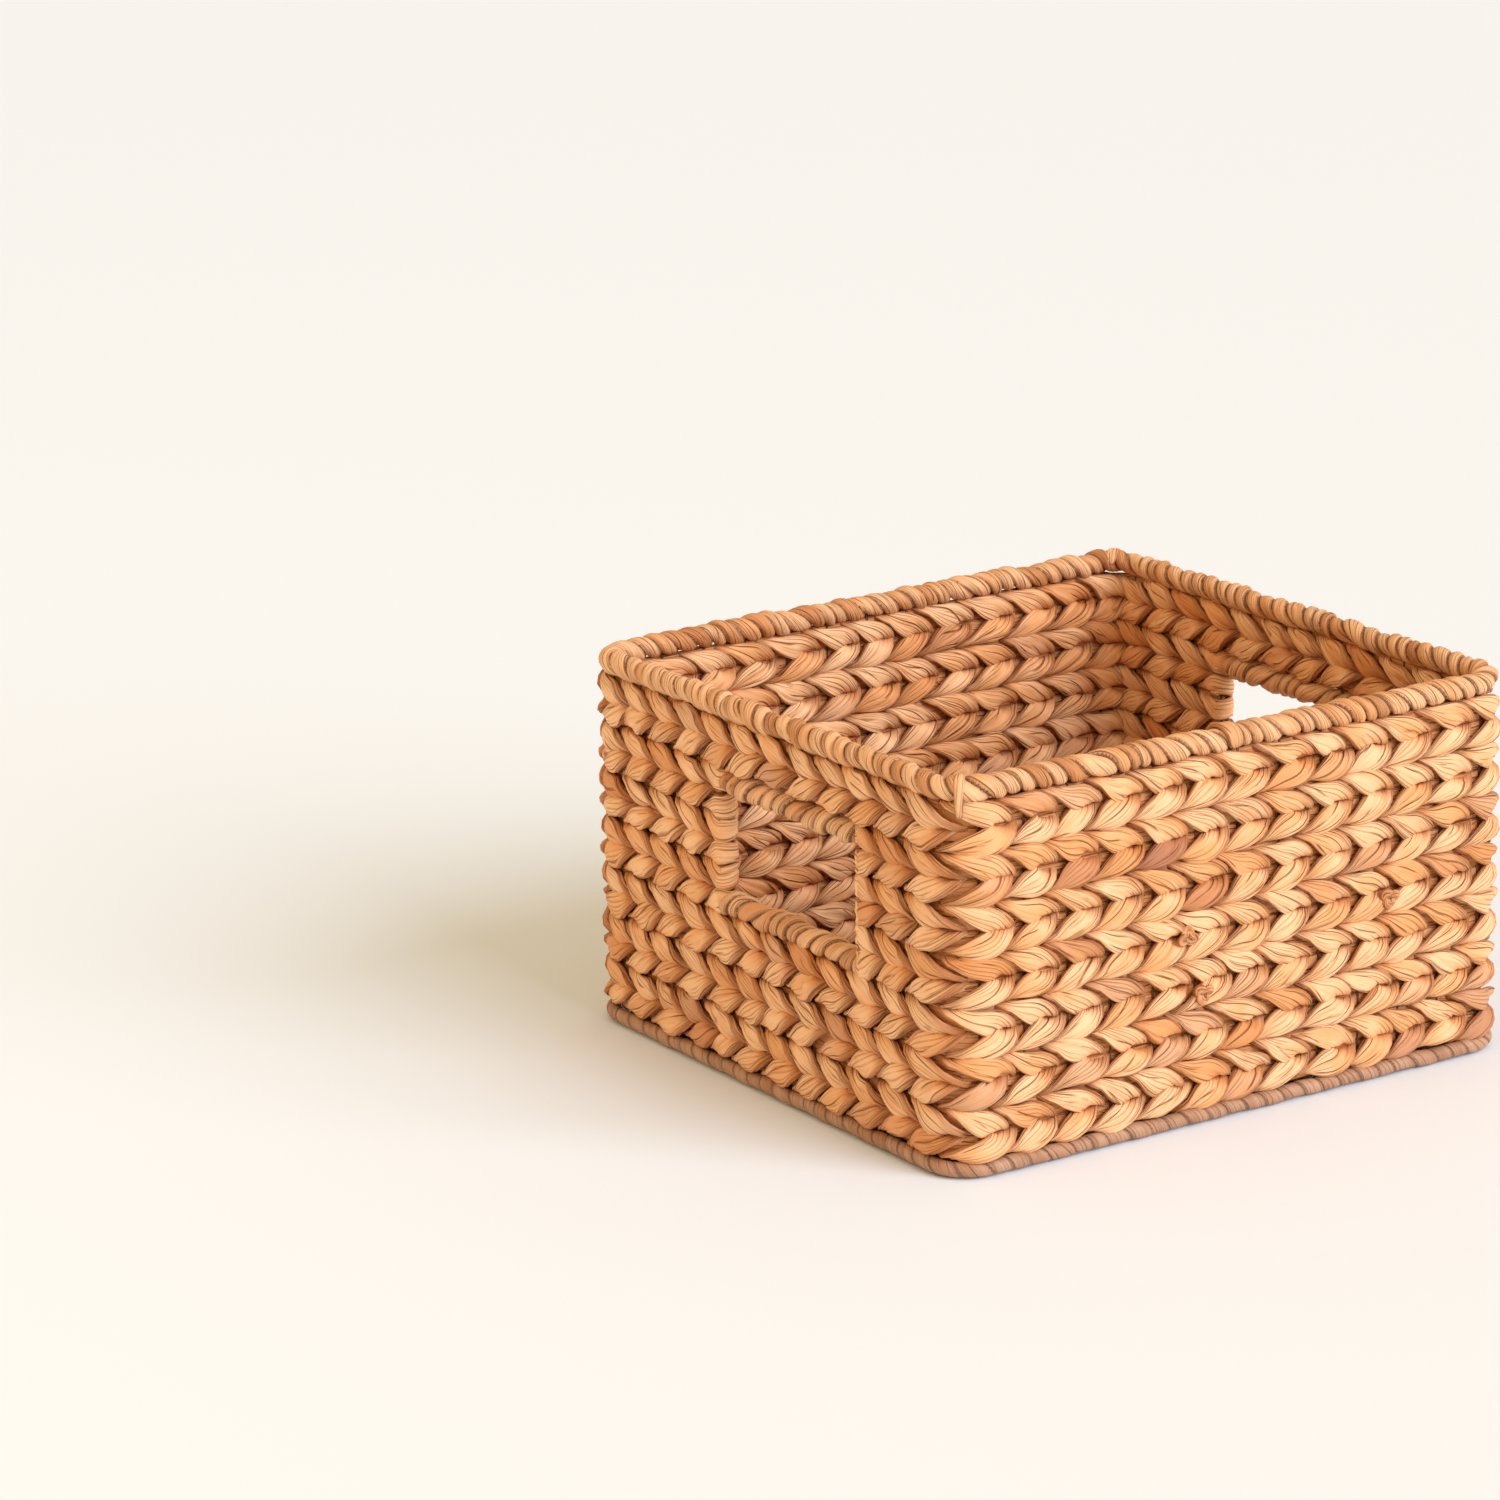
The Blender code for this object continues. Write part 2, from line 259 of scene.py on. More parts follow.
def sweep(name, path, face, wide, thick, rng, marks, closed=True, around=SIDES_ROUND):
    """One flattened, creased strand along a path, its flat side turned to face.

    marks holds the tone, redness and painted shade along the path: paler or darker, redder, and shaded where
    it is tucked into the wall.
    """
    ahead = np.roll(path, -1, 0) - np.roll(path, 1, 0)
    if not closed:
        ahead[0] = path[1] - path[0]
        ahead[-1] = path[-1] - path[-2]
    ahead = unit(ahead)
    side = unit(np.cross(ahead, face))
    face = np.cross(side, ahead)
    run = np.concatenate([[0.0], np.cumsum(np.linalg.norm(np.diff(path, axis=0), axis=1))])
    marks = np.asarray(marks)
    if closed:
        run = np.append(run, run[-1] + np.linalg.norm(path[-1] - path[0]))
        path, side, face, wide, thick = (np.concatenate([a, a[:1]]) for a in (path, side, face, wide, thick))
        marks = np.concatenate([marks, marks[:, :1]], axis=1)
    turn = np.linspace(0, 2 * math.pi, around + 1)
    turn[-1] = 0.0
    across = np.sign(np.cos(turn)) * np.abs(np.cos(turn)) ** 0.9
    through = np.sign(np.sin(turn)) * np.abs(np.sin(turn)) ** 0.52
    swell = 1 + PLEATS * creases(turn, run, rng)
    places = path[:, None, :] + side[:, None, :] * (across * wide[:, None] * (0.6 + 0.4 * swell))[..., None]
    places = places + face[:, None, :] * (through * thick[:, None] * swell)[..., None]
    girth = np.linspace(0, 2 * math.pi, around + 1) * float(np.mean(wide + thick)) / 2
    flat = np.stack(np.meshgrid(run, girth), -1)
    # Painted shade: the strand's two edges, and the tucked-in places given in marks, take the colour of the
    # gaps
    edge = EDGE_SHADE * np.clip((np.abs(np.cos(turn)) - 0.84) / 0.16, 0, 1)
    painted_shade = 1 - (1 - marks[2])[None, :] * (1 - edge)[:, None]
    marks = (marks[0], marks[1], painted_shade)
    return closed_tube(name, places.transpose(1, 0, 2), flat, marks, rng.uniform(0, 1), closed)


def closed_tube(name, places, flat, marks, strand, closed):
    """A tube from a grid of points, rows round the girth and columns along it, closed up and facing outward.

    flat holds its UV places, marks its tone, redness and painted shade, and strand is a number of its own.
    """
    rows, columns = places.shape[:2]
    bpy.ops.object.select_all(action="DESELECT")
    bpy.ops.mesh.primitive_grid_add(x_subdivisions=columns - 1, y_subdivisions=rows - 1, size=1)
    made = bpy.context.object
    made.name = name
    made.data.name = name
    mesh = made.data
    mesh.vertices.foreach_set("co", places.astype(np.float32).ravel())
    corners = np.empty(len(mesh.loops), np.int32)
    mesh.loops.foreach_get("vertex_index", corners)
    mesh.uv_layers.active.data.foreach_set("uv", flat.reshape(-1, 2)[corners].astype(np.float32).ravel())
    for label, values in zip(("tone", "red", "painted_shade", "strand"), (*marks, strand)):
        values = np.broadcast_to(values, (rows, columns)).astype(np.float32).ravel()
        mesh.attributes.new(label, "FLOAT", "POINT").data.foreach_set("value", values)
    bpy.ops.object.mode_set(mode="EDIT")
    bpy.ops.mesh.select_all(action="SELECT")
    bpy.ops.mesh.remove_doubles(threshold=1e-6)
    if not closed:
        bpy.ops.mesh.select_all(action="DESELECT")
        bpy.ops.mesh.select_non_manifold()
        bpy.ops.mesh.fill_holes(sides=0)
    bpy.ops.mesh.select_all(action="SELECT")
    bpy.ops.mesh.normals_make_consistent(inside=False)
    bpy.ops.object.mode_set(mode="OBJECT")
    bpy.ops.object.shade_smooth()
    return made


def join(name, parts):
    bpy.ops.object.select_all(action="DESELECT")
    for part in parts:
        part.select_set(True)
    bpy.context.view_layer.objects.active = parts[0]
    if len(parts) > 1:
        bpy.ops.object.join()
    made = bpy.context.view_layer.objects.active
    made.name = name
    made.data.name = name
    return made


def finish_piece(piece, look, nodes):
    piece.data.materials.clear()
    piece.data.materials.append(look)
    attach(piece, "root")
    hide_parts(*nodes)


# ---------------------------------------------------------------- twined rows of the walls

def by_crossing(values, turn):
    """A size at each turn of the twist, from its values slipping out, on a face and diving in."""
    slip, flat, dive = values
    up = np.sin(turn)
    return flat + (dive - slip) / 2 * up + ((dive + slip) / 2 - flat) * up**2


def step_between(values, phase):
    """One value for each pass over a stake, changing quickly between two passes."""
    before = np.floor(phase).astype(int)
    share = np.clip((phase - before - 0.3) / 0.4, 0, 1)
    share = share * share * (3 - 2 * share)
    return values[before % len(values)] * (1 - share) + values[(before + 1) % len(values)] * share


def red_passes(row, first, strand):
    """The redder passes of one strand, as its row counts stakes, where the front wall's start at first."""
    passes = [(first + stake, strength) for stake, strength in RED_LOBES.get(row, ())]
    return [(stake, strength) for stake, strength in passes if (stake + strand) % 2 == 0]


def lobe_marks(rng, phase, count, turn, redder):
    """The tone, redness and painted shade along a strand that makes a pass over each of count stakes."""
    tone = step_between(rng.normal(0, 0.9, count), phase)
    reds = np.where(rng.uniform(0, 1, count) < 0.10, rng.uniform(0.15, 0.55, count), 0.0)
    for stake, strength in redder:
        reds[stake] = strength
    up = np.sin(turn)
    # Painted shade where the strand dives into the wall beside a stake, and where it slips out between rows
    diving = 0.50 * np.clip((up - 0.92) / 0.08, 0, 1) ** 1.3
    slipping = 0.30 * np.clip((-up - 0.80) / 0.20, 0, 1) ** 2
    return tone, step_between(reds, phase), diving + slipping


def strand_run(s, turn, z, lean):
    """The middle, facing and sizes of a strand twisting along a wall at each distance s."""
    up = np.sin(turn)
    out_or_in = np.cos(turn)
    swing = SWING_OUT * np.sign(out_or_in) * np.abs(out_or_in) ** 0.55
    rise = 0.7 * np.arcsin(up) * 2 / math.pi + 0.3 * up
    lift = lean * (SWING_UP * rise - DROP)
    line, out = wall_line(s)
    path = line + out * swing[:, None] + UP * (z + lift)[:, None]
    facing = turn - 0.43 * np.sin(2 * turn)
    face = out * np.cos(facing)[:, None] + UP * (lean * np.sin(facing))[:, None]
    wide = by_crossing(WIDE, turn) + SLIP_SPREAD * np.clip((-up - 0.93) / 0.07, 0, 1)
    return path, face, wide, by_crossing(THICK, turn)


def roughen(path, wide, thick, run, length, rng):
    """The same strand, a little uneven in its width, thickness and height."""
    wide = wide * (1 + wander(rng, length, 0.025, 0.10)(run))
    thick = thick * (1 + wander(rng, length, 0.025, 0.12)(run))
    path = path + UP * wander(rng, length, 0.03, 0.0008)(run)[:, None]
    return path, wide, thick


def shaded_core(name, z, first, last, rng, closed):
    """A flat strand in the middle of a wall, behind the gaps between twisted strands, darkened with painted
    shade.
    """
    s = np.linspace(first, last, max(2, int((last - first) / CORE_STEP)), endpoint=False)
    line, out = wall_line(s)
    same = 0 * s + 1.0
    # Painted shade: the low tone and CORE_SHADE darken this strand towards the colour of the gaps
    marks = (0 * s - 1.0, 0 * s, 0 * s + CORE_SHADE)
    path = line + UP * z
    return sweep(name, path, out, CORE_HIGH * same, CORE_THICK * same, rng, marks, closed=closed, around=8)


def tuft(x, z, rng):
    """A small crumpled knot standing on the outside of the front wall."""
    turn = np.linspace(0, 2 * math.pi, 60, endpoint=False)
    parts = []
    for size in (1.0, 0.7):
        shift = rng.uniform(0, 2 * math.pi)
        radius = KNOT_RADIUS * size * (1 + 0.35 * np.cos(3 * turn + shift))
        out = -HALF_WIDTH - KNOT_OUT - 0.0007 * np.sin(2 * turn + shift)
        path = np.stack([x + 1.3 * radius * np.cos(turn), out, z + radius * np.sin(turn)], 1)
        face = unit(np.stack([0.6 * np.cos(2 * turn), -1 + 0 * turn, 0.6 * np.sin(2 * turn)], 1))
        # Painted shade at points round the knot
        marks = (0 * turn - 1.0, 0 * turn + 0.4, 0.5 * np.abs(np.sin(2 * turn + shift)) ** 4)
        wide = KNOT_WIDE * size + 0 * turn
        thick = KNOT_THICK + 0 * turn
        parts.append(sweep("tuft", path, face, wide, thick, rng, marks, around=12))
    return parts


def full_row(row, look, rng):
    """Two strands twisted round every stake, all the way round."""
    node = f"twined_row_{row:02d}"
    z = middle(node).z
    lean = 1 if row % 2 else -1
    stakes = stake_distances()
    count = len(stakes)
    phase = np.arange(count * STEPS_PER_STAKE) / STEPS_PER_STAKE
    s = np.interp(phase, np.arange(count + 1), np.append(stakes, stakes[0] + AROUND))
    s = s + wander(rng, AROUND, 0.08, 0.0022)(s)
    before_front = len(SHORT_STAKES) // 2 + len(LONG_STAKES) + len(SHORT_STAKES)
    parts = []
    for strand in range(2):
        turn = math.pi * (phase + strand)
        path, face, wide, thick = strand_run(s, turn, z, lean)
        path, wide, thick = roughen(path, wide, thick, s, AROUND, rng)
        marks = lobe_marks(rng, phase, count, turn, red_passes(row, before_front, strand))
        parts.append(sweep(node, path, face, wide, thick, rng, marks))
    parts.append(shaded_core(node, z, 0.0, AROUND, rng, closed=True))
    for x, knot_z in KNOTS.get(row, ()):
        parts.extend(tuft(x, knot_z, rng))
    finish_piece(join(f"woven_row_{row:02d}", parts), look, [node])


def loop_back(s, order, outside, z, rng):
    """A strand's end bent round a hand hole's edge stake, with its sizes and marks.

    order is 1 where the strand runs anticlockwise, and outside is 1 where the bend starts on the outer
    face of the wall. Where they don't, they are -1.
    """
    bend = np.linspace(0, math.pi, STEPS_PER_STAKE + 1)[1:-1]
    line, out = wall_line(s)
    beyond = np.cross(UP, out[0]) * order
    face = out * np.cos(bend)[:, None] * outside + beyond * np.sin(bend)[:, None]
    path = line + face * SWING_OUT + UP * (z + 0 * bend)[:, None]
    wide = WIDE[1] * (1 - 0.06 * np.sin(bend))
    return path, face, wide, 0 * bend + THICK[1], 0 * bend + rng.normal(0, 0.4), 0 * bend, 0 * bend


def half_row(row, half, look, rng):
    """A row that stops at the hand holes: one long strand that loops back round both edge stakes."""
    node = f"twined_row_{row:02d}_{half}"
    z = middle(node).z
    lean = 1 if row % 2 else -1
    stakes = stakes_of_half(half)
    count = len(stakes)
    phase = np.linspace(0, count - 1, (count - 1) * STEPS_PER_STAKE + 1)
    s = np.interp(phase, np.arange(count), stakes)
    before_front = sum(y <= HOLE_EDGES["left"][0] for y in SHORT_STAKES)
    runs = []
    for strand, order in ((0, 1), (1, -1)):
        here = phase[::order]
        turn = math.pi * (here + strand)
        redder = red_passes(row, before_front, strand) if half == "front" else ()
        runs.append((*strand_run(s[::order], turn, z, lean), *lobe_marks(rng, here, count, turn, redder)))
        outside = 1.0 if math.cos(turn[-1]) > 0 else -1.0
        runs.append(loop_back(s[::order][-1:], order, outside, z, rng))
    path, face, wide, thick, *marks = (np.concatenate(parts) for parts in zip(*runs))
    length = float(np.linalg.norm(np.diff(path, axis=0), axis=1).sum())
    path, wide, thick = roughen(path, wide, thick, np.linspace(0, length, len(path)), length, rng)
    parts = [sweep(node, path, face, wide, thick, rng, marks)]
    parts.append(shaded_core(node, z, stakes[0] - CORE_PAST, stakes[-1] + CORE_PAST, rng, closed=False))
    for x, knot_z in KNOTS.get(row, ()) if half == "front" else ():
        parts.extend(tuft(x, knot_z, rng))
    finish_piece(join(f"woven_row_{row:02d}_{half}", parts), look, [node])


# ---------------------------------------------------------------- wound rim, bars and base edge

def wound(
    name, line, out, length, turns, size, rng, closed, strands=2, bulge=0.42, uneven=1.0, outline=0.80
):
    """Strands wound side by side round a line: each turn bulges, laps over the next, and is wrinkled.

    strands is how many lie side by side, and below 0 they are wound the other way. bulge is how far the
    grooves between turns sink, uneven how much the turns differ, and outline how much painted shade darkens
    the grooves.
    """
    around = 28
    far = np.linspace(0, length, len(line), endpoint=not closed)
    warp = far / length * turns + uneven * wander(rng, length, 0.035, 0.28)(far)
    centre = line + UP * (uneven * wander(rng, length, 0.03, 0.0004)(far))[:, None]
    if closed:
        warp = np.append(warp, warp[0] + turns)
        centre, out = (np.concatenate([a, a[:1]]) for a in (centre, out))
    angle = np.linspace(0, 2 * math.pi, around + 1)
    phase = warp[None, :] + strands * angle[:, None] / (2 * math.pi)
    lap = np.floor(phase).astype(int)
    across = phase - lap
    at_seam = np.clip(angle[:, None] / (2 * math.pi) * 6 - 5, 0, 1)
    heights = rng.normal(0, 0.07 * uneven, turns)
    tones = rng.normal(0, 1.0 * uneven, turns)
    twists = rng.uniform(0, 1, turns)

    def by_lap(value):
        """A value for each turn, passed on from turn to turn where the tube's seam is."""
        return value(lap % turns) * (1 - at_seam) + value((lap - strands) % turns) * at_seam

    def wrinkle(turn):
        total = 0
        for folds, strength in ((2, 0.55), (3, 0.45), (5, 0.35)):
            sway = 0.25 * np.sin(angle[:, None] * 2 + 9 * twists[turn])
            lean = across * folds + twists[turn] * 7 * folds + sway
            total = total + strength * (np.abs(np.sin(math.pi * lean)) - 0.6)
        return total

    swell = (1 - np.abs(2 * across - 1) ** 2.1) ** 0.55 + 0.20 * (1 - across)
    radius = 1 - bulge + bulge * swell + 0.075 * uneven * by_lap(wrinkle)
    radius = radius + by_lap(lambda turn: heights[turn]) * swell
    angle[-1] = 0.0
    ring = -UP * np.cos(angle)[:, None, None] * size[1] + out[None] * np.sin(angle)[:, None, None] * size[0]
    places = centre[None] + ring * radius[..., None]
    # Painted shade: the grooves between turns take the colour of the gaps, as far as outline says
    groove = np.clip(1 - np.minimum(across, 1 - across) / 0.13, 0, 1) * outline
    girth = np.linspace(0, 2 * math.pi, around + 1) * sum(size) / 2
    flat = np.stack([girth[:, None] + 0.05 * lap, across * length / turns], -1)
    marks = (by_lap(lambda turn: tones[turn]), 0 * across, groove)
    return closed_tube(name, places, flat, marks, rng.uniform(0, 1), closed)


def strip(line, face, wide, thick, rng, tone):
    """A short loose strip through a few points, smoothed, narrower at its two ends."""
    share = np.linspace(0, 1, 40)
    knots = np.linspace(0, 1, len(line))
    path = np.stack([np.interp(share, knots, axis) for axis in np.array(line, float).T], 1)
    for _ in range(30):
        path[1:-1] = (path[:-2] + path[2:]) / 2
    faces = unit(np.stack([np.interp(share, knots, axis) for axis in np.array(face, float).T], 1))
    taper = 0.45 + 0.55 * np.sin(math.pi * share) ** 0.5
    # Painted shade towards the strip's two ends
    marks = (tone + 0 * share, 0 * share, 0.5 * (2 * share - 1) ** 8)
    return sweep("strip", path, faces, wide * taper, thick * taper, rng, marks, closed=False, around=16)


def over_rim(s, first, last, reach, drop, wide, rng, tone, lean=0.0):
    """A strip laid over the rim at s, from angle first to last, then hanging down the outside by drop."""
    angles = np.radians(np.linspace(first, last, 9))
    here, out = wall_line(np.full(9, s) + lean * np.linspace(0, 1, 9))
    radial = out * np.cos(angles)[:, None] + UP * np.sin(angles)[:, None]
    line = here + UP * RIM_Z + radial * reach
    if drop:
        line = np.concatenate([line, line[-1:] - UP * drop * 0.5, line[-1:] - UP * drop + out[-1:] * 0.0003])
        radial = np.concatenate([radial, out[-1:], out[-1:]])
    return strip(line, radial, wide, 0.0011, rng, tone)


def loose_ends(rng):
    """A turn that ends on the front of the rim, and tails at the near and far corners."""
    front_middle = AROUND * 3 / 4
    near = front_middle - STRAIGHT_X - QUARTER / 2
    far = AROUND / 4 - QUARTER / 2 - STRAIGHT_X
    return [
        over_rim(front_middle - 0.010, 150, -35, 0.0072, 0.0, 0.0050, rng, tone=-1.2, lean=0.006),
        over_rim(near + 0.001, 110, -5, 0.0068, 0.012, 0.0026, rng, tone=0.6),
        over_rim(far, 30, 175, 0.0072, 0.0, 0.0030, rng, tone=0.5, lean=0.004),
    ]


def rim_wrap(look, rng):
    """The wrap round the whole rim, and its loose ends."""
    turns = round(AROUND / RIM_TURN)
    line, out = wall_line(steps_round(turns))
    piece = wound("rim", line + UP * RIM_Z, out, AROUND, turns, RIM_SIZE, rng, True)
    finish_piece(join("wound_rim", [piece, *loose_ends(rng)]), look, ["rim_wrap"])


def edge_wrap(look, rng):
    """The smooth wrap round the bottom edge, whose turns hardly show."""
    low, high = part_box("base_edge_wrap")
    reach = (high.z - low.z) / 2
    size = (reach, reach)
    turns = round(AROUND / EDGE_TURN)
    line, out = wall_line(steps_round(turns), high.x - HALF_LENGTH - reach)
    line = line + UP * middle("base_edge_wrap").z
    # outline here sets the painted shade in the grooves between turns
    smooth = {"strands": 1, "bulge": 0.07, "uneven": 0.5, "outline": 0.5}
    piece = wound("edge", line, out, AROUND, turns, size, rng, True, **smooth)
    finish_piece(join("wound_base_edge", [piece]), look, ["base_edge_wrap"])


def bar_wraps(look, rng):
    """The wraps round the bars below and above each hand hole."""
    for side in ("left", "right"):
        for level in ("lower", "upper"):
            centre = middle(f"{level}_bar_wire_{side}")
            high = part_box(f"{level}_bar_wrap_{side}")[1]
            z = centre.z - BAR_DROP if level == "lower" else high.z - BAR_REACH
            first = HOLE_EDGES[side][0] + BAR_END
            last = HOLE_EDGES[side][1] - BAR_END
            turns = round((last - first) / BAR_TURN)
            y = np.linspace(first, last, turns * STEPS_PER_TURN + 1)
            line = np.stack([0 * y + centre.x, y, 0 * y + z], 1)
            out = np.tile([math.copysign(1.0, centre.x), 0.0, 0.0], (len(y), 1))
            strands = 2 if side == "left" else -2
            piece = wound("bar", line, out, last - first, turns, BAR_SIZE, rng, False, strands=strands)
            nodes = [f"{level}_bar_wrap_{side}"]
            finish_piece(join(f"wound_{level}_bar_{side}", [piece]), look, nodes)


# ---------------------------------------------------------------- base

def base_weave(look, rng):
    """Twined rows across the base, from one short wall to the other."""
    reach_x = HALF_LENGTH - BASE_MARGIN_X
    reach_y = HALF_WIDTH - BASE_MARGIN_Y
    rows = int(2 * reach_y / BASE_PITCH)
    step = LONG_STAKES[1] - LONG_STAKES[0]
    x = np.linspace(-reach_x, reach_x, BASE_STEPS + 1)
    phase = (x - LONG_STAKES[0]) / step
    parts = []
    for row in range(rows):
        y = (row - (rows - 1) / 2) * BASE_PITCH
        lean = 1 if row % 2 else -1
        for strand in range(2):
            turn = math.pi * (phase + strand)
            up = np.sin(turn)
            path = np.stack([x, y + lean * BASE_SWING_SIDE * up, BASE_Z + BASE_SWING_UP * np.cos(turn)], 1)
            facing = turn - 0.38 * np.sin(2 * turn)
            face = np.stack([0 * x, lean * np.sin(facing), np.cos(facing)], 1)
            wide = by_crossing(BASE_WIDE, turn)
            thick = 0 * x + BASE_THICK
            # Painted shade where the two strands cross
            marks = (0 * x + rng.normal(0, 0.5), 0 * x, 0.4 * np.abs(up) ** 3)
            parts.append(sweep("base", path, face, wide, thick, rng, marks, closed=False, around=14))
    finish_piece(join("woven_base", parts), look, ["base_weave_under", "base_weave_over"])


# ---------------------------------------------------------------- materials

def fibre_group():
    """Dried plant fibre: each pass of a strand has its own tone, with creases and fine lines along it, and
    painted shade in its creases and gaps.
    """
    group = bpy.data.node_groups.new("plant_fibre", "ShaderNodeTree")
    sockets = group.interface
    for name in STRAW:
        sockets.new_socket(name, in_out="INPUT", socket_type="NodeSocketColor")
    sockets.new_socket("Crease", in_out="INPUT", socket_type="NodeSocketFloat")
    sockets.new_socket("Color", in_out="OUTPUT", socket_type="NodeSocketColor")
    for name in ("Roughness", "Height"):
        sockets.new_socket(name, in_out="OUTPUT", socket_type="NodeSocketFloat")
    nodes, links = group.nodes, group.links
    given = nodes.new("NodeGroupInput").outputs
    result = nodes.new("NodeGroupOutput").inputs
    split = nodes.new("ShaderNodeSeparateXYZ")
    links.new(nodes.new("ShaderNodeUVMap").outputs["UV"], split.inputs[0])
    along, across = split.outputs[:2]

    def mark(name):
        node = nodes.new("ShaderNodeAttribute")
        node.attribute_name = name
        return node.outputs["Fac"]

    def calc(kind, *values):
        node = nodes.new("ShaderNodeMath")
        node.operation = kind
        for index, value in enumerate(values):
            if isinstance(value, (int, float)):
                node.inputs[index].default_value = value
            else:
                links.new(value, node.inputs[index])
        return node.outputs[0]

    strand = mark("strand")

    def noise(per_metre_along, per_metre_across, detail, seed):
        vector = nodes.new("ShaderNodeCombineXYZ")
        links.new(calc("MULTIPLY", along, per_metre_along), vector.inputs[0])
        links.new(calc("MULTIPLY", across, per_metre_across), vector.inputs[1])
        links.new(calc("MULTIPLY", strand, seed), vector.inputs[2])
        made = nodes.new("ShaderNodeTexNoise")
        made.inputs["Scale"].default_value = 1.0
        made.inputs["Detail"].default_value = detail
        links.new(vector.outputs[0], made.inputs["Vector"])
        return made.outputs["Fac"]

    def ramp(value, low, high, to=1.0):
        node = nodes.new("ShaderNodeMapRange")
        node.interpolation_type = "SMOOTHSTEP"
        node.inputs["From Min"].default_value = low
        node.inputs["From Max"].default_value = high
        node.inputs["To Max"].default_value = to
        links.new(value, node.inputs["Value"])
        return node.outputs[0]

    def mix(share, a, b):
        node = nodes.new("ShaderNodeMix")
        node.data_type = "RGBA"
        links.new(share, node.inputs[0])
        links.new(a, node.inputs[6])
        links.new(b, node.inputs[7])
        return node.outputs[2]

    def thin_lines(per_metre, drift, seed, width, least):
        """Thin lines that run along the strand, drift a little, and fade in and out."""
        drifting = calc("MULTIPLY", noise(22.0, 90.0, 1.0, seed), drift)
        place = calc("MULTIPLY_ADD", across, per_metre, drifting)
        away = calc("PINGPONG", calc("ADD", place, calc("MULTIPLY", strand, seed)), 0.5)
        shown = ramp(noise(45.0, 240.0, 1.0, seed + 11.0), least, least + 0.16)
        return calc("MULTIPLY", shown, calc("SUBTRACT", 1.0, ramp(away, 0.0, width)))

    fine = noise(24.0, 1700.0, 3.0, 37.0)
    creased = thin_lines(260.0, 3.0, 91.0, 0.085, 0.42)
    hairs = thin_lines(720.0, 4.0, 17.0, 0.20, 0.40)
    tone = mark("tone")
    patch = calc("ADD", noise(42.0, 110.0, 2.0, 53.0), calc("MULTIPLY", tone, -0.15))
    streak = noise(18.0, 420.0, 2.0, 71.0)
    stain = noise(60.0, 160.0, 3.0, 211.0)
    hair_shade = calc("MULTIPLY", given["Crease"], 0.45)
    crease_shade = calc("MULTIPLY", given["Crease"], 0.80)
    color = mix(ramp(patch, 0.36, 0.70), given["Pale"], given["Mid"])
    color = mix(ramp(calc("MULTIPLY", tone, -1.0), 0.5, 2.2, 0.6), color, given["Dark"])
    color = mix(ramp(streak, 0.52, 0.76, 0.45), color, given["Dark"])
    color = mix(ramp(fine, 0.48, 0.80, 0.45), color, given["Dark"])
    color = mix(ramp(stain, 0.66, 0.78, 0.7), color, given["Red"])
    color = mix(mark("red"), color, given["Red"])
    color = mix(calc("MULTIPLY", hairs, hair_shade), color, given["Dark"])
    # Painted shade: the crease lines, then the strand's painted shade attribute, take the colour of the gaps
    color = mix(calc("MULTIPLY", creased, crease_shade), color, given["GapShade"])
    color = mix(mark("painted_shade"), color, given["GapShade"])
    links.new(color, result["Color"])
    links.new(calc("MULTIPLY_ADD", fine, 0.3, 0.40), result["Roughness"])
    lines = calc("MULTIPLY_ADD", creased, -1.0, calc("MULTIPLY", hairs, -0.45))
    dents = calc("MULTIPLY", given["Crease"], lines)
    streaks = calc("MULTIPLY_ADD", streak, -0.8, dents)
    links.new(calc("MULTIPLY_ADD", fine, 0.35, streaks), result["Height"])
    return group


def bump(tree, height, distance):
    """Lifts a material's surface by up to distance where height is high."""
    lift = tree.nodes.new("ShaderNodeBump")
    lift.inputs["Distance"].default_value = distance
    tree.links.new(height, lift.inputs["Height"])
    tree.links.new(lift.outputs["Normal"], tree.nodes["Principled BSDF"].inputs["Normal"])


def fibre_material(name, group, colours, crease, depth):
    """Fibre in its own colours: crease is how clear its lines are, and depth how far its surface lifts."""
    made = bpy.data.materials.new(name)
    made.use_nodes = True
    nodes, links = made.node_tree.nodes, made.node_tree.links
    shader = nodes["Principled BSDF"]
    fibre = nodes.new("ShaderNodeGroup")
    fibre.node_tree = group
    for socket, colour in colours.items():
        fibre.inputs[socket].default_value = (*colour, 1.0)
    fibre.inputs["Crease"].default_value = crease
    links.new(fibre.outputs["Color"], shader.inputs["Base Color"])
    links.new(fibre.outputs["Roughness"], shader.inputs["Roughness"])
    bump(made.node_tree, fibre.outputs["Height"], depth)
    shader.inputs["Specular IOR Level"].default_value = 0.4
    return made


def wire_material():
    """Stakes bound in brown fibre: narrow dark and light bands up their length."""
    made = bpy.data.materials.new("bound_wire")
    made.use_nodes = True
    nodes, links = made.node_tree.nodes, made.node_tree.links
    shader = nodes["Principled BSDF"]
    place = nodes.new("ShaderNodeTexCoord")
    spread = nodes.new("ShaderNodeMapping")
    spread.inputs["Scale"].default_value = (900.0, 900.0, 160.0)
    links.new(place.outputs["Object"], spread.inputs["Vector"])
    grain = nodes.new("ShaderNodeTexNoise")
    grain.inputs["Scale"].default_value = 1.0
    links.new(spread.outputs[0], grain.inputs["Vector"])
    colour = nodes.new("ShaderNodeValToRGB")
    for element, position, shade in zip(colour.color_ramp.elements, (0.35, 0.70), (WIRE_DARK, WIRE_LIGHT)):
        element.position = position
        element.color = (*shade, 1.0)
    links.new(grain.outputs["Fac"], colour.inputs["Fac"])
    links.new(colour.outputs["Color"], shader.inputs["Base Color"])
    bump(made.node_tree, grain.outputs["Fac"], 0.0003)
    shader.inputs["Roughness"].default_value = 0.7
    return made


# ---------------------------------------------------------------- stage

